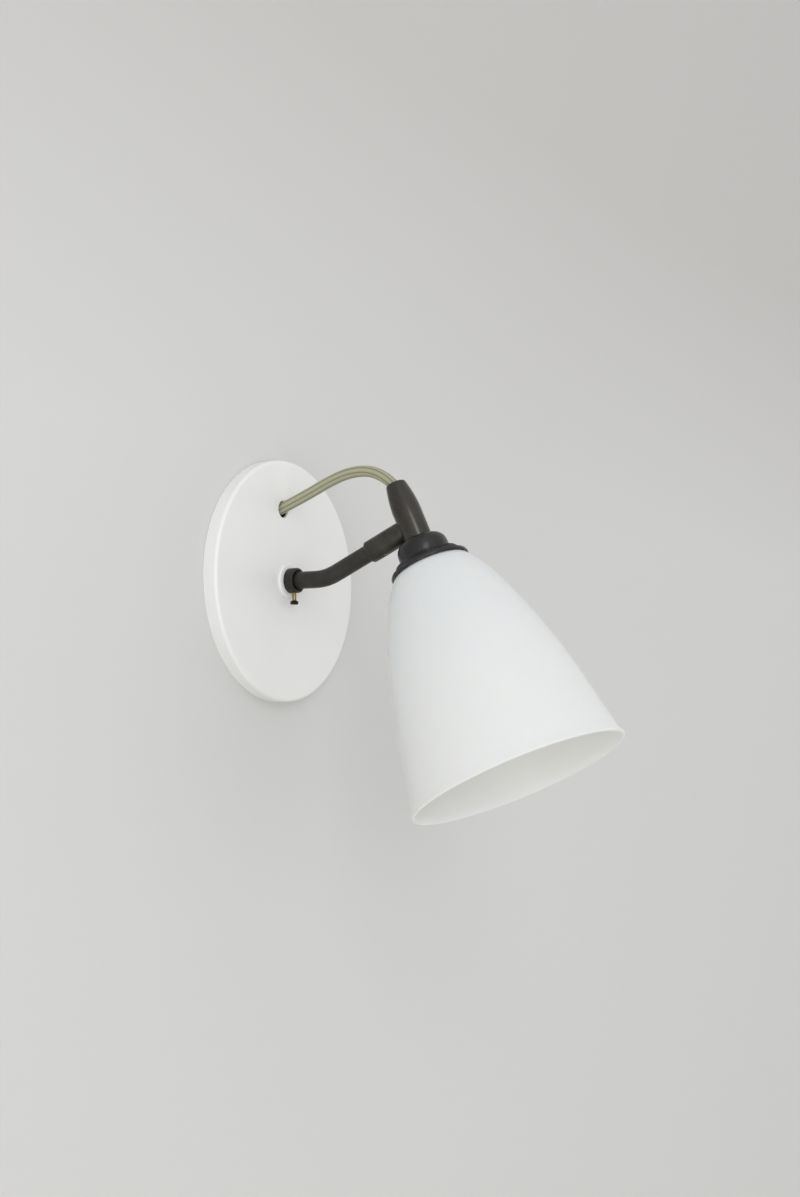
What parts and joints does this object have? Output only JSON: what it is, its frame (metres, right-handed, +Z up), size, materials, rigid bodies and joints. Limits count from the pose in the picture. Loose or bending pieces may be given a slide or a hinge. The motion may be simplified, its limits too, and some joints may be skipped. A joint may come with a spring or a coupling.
{
  "type": "wall lamp",
  "caption": "Swivelling wall lamp: round wall plate, bent arm in a thumb-screw collar, tapered stem on a sleeve, open woven flex, white bell shade hanging mouth down.",
  "frame": {"origin": "centre of the wall plate's back, on the wall, midway between the two wall screws", "axes": "+Y into the wall, +Z up; the lamp reaches out along -Y"},
  "size_m": [0.14, 0.2131, 0.2079],
  "materials": {
    "white_enamel": "satin",
    "bronzed_metal": "satin",
    "turned_brass": "bright",
    "plated_steel": "brushed",
    "glazed_china": "glossy",
    "soft_gasket": "matt",
    "holder_moulding": "matt",
    "pale_moulding": "matt",
    "bulb_glass": "clear",
    "bulb_cap_metal": "satin",
    "cap_insulation": "glossy",
    "woven_flex": "woven",
    "brown_core": "glossy",
    "blue_core": "glossy",
    "green_yellow_core": "glossy"
  },
  "bodies": {
    "base": {"wall_plate": "white_enamel", "mounting_strap": "plated_steel", "strap_nut": "plated_steel", "collar_washer": "white_enamel", "arm_socket": "bronzed_metal", "flex_anchor": "pale_moulding", "terminal_block": "pale_moulding", "terminal_screws": "turned_brass", "live_core": "brown_core", "neutral_core": "blue_core", "earth_core": "green_yellow_core", "earth_tag": "turned_brass", "earth_screw": "turned_brass", "flex": "woven_flex"},
    "arm": {"arm_tube": "bronzed_metal"},
    "thumb_screw": {"thumb_screw": "turned_brass"},
    "head": {"swivel_sleeve": "bronzed_metal", "sleeve_grub_screw": "plated_steel", "cord_stem": "bronzed_metal", "cord_grip": "pale_moulding", "cord_grip_screw": "bronzed_metal", "holder_cap": "bronzed_metal", "milled_ring": "bronzed_metal", "shade_carrier": "bronzed_metal", "shade_gasket": "soft_gasket", "shade": "glazed_china", "lampholder": "holder_moulding", "shade_ring": "holder_moulding", "screw_shell": "turned_brass", "centre_contact": "turned_brass", "stem_flex": "woven_flex"},
    "bulb": {"bulb_contact": "turned_brass", "bulb_insulator": "cap_insulation", "bulb_cap": "bulb_cap_metal", "bulb_globe": "bulb_glass"}
  },
  "joints": [
    {"name": "arm_swivel", "type": "hinge", "parent": "base", "child": "arm", "pos_m": [0, 0, 0], "axis": [0, -1, 0], "range_deg": [-20, 20], "deforming": ["flex"]},
    {"name": "head_swivel", "type": "hinge", "parent": "arm", "child": "head", "pos_m": [0, -0.09248, 0.027], "axis": [0, -0.9051, 0.4252], "range_deg": [-30, 30], "deforming": ["flex"]},
    {"name": "thumb_screw_turn", "type": "hinge", "parent": "base", "child": "thumb_screw", "pos_m": [0, -0.0129, 0], "axis": [0, 0, -1], "range_deg": [0, 360]},
    {"name": "bulb_turn", "type": "hinge", "parent": "head", "child": "bulb", "pos_m": [0, -0.09248, 0.027], "axis": [0, -0.4252, -0.9051], "range_deg": [0, 360]}
  ]
}
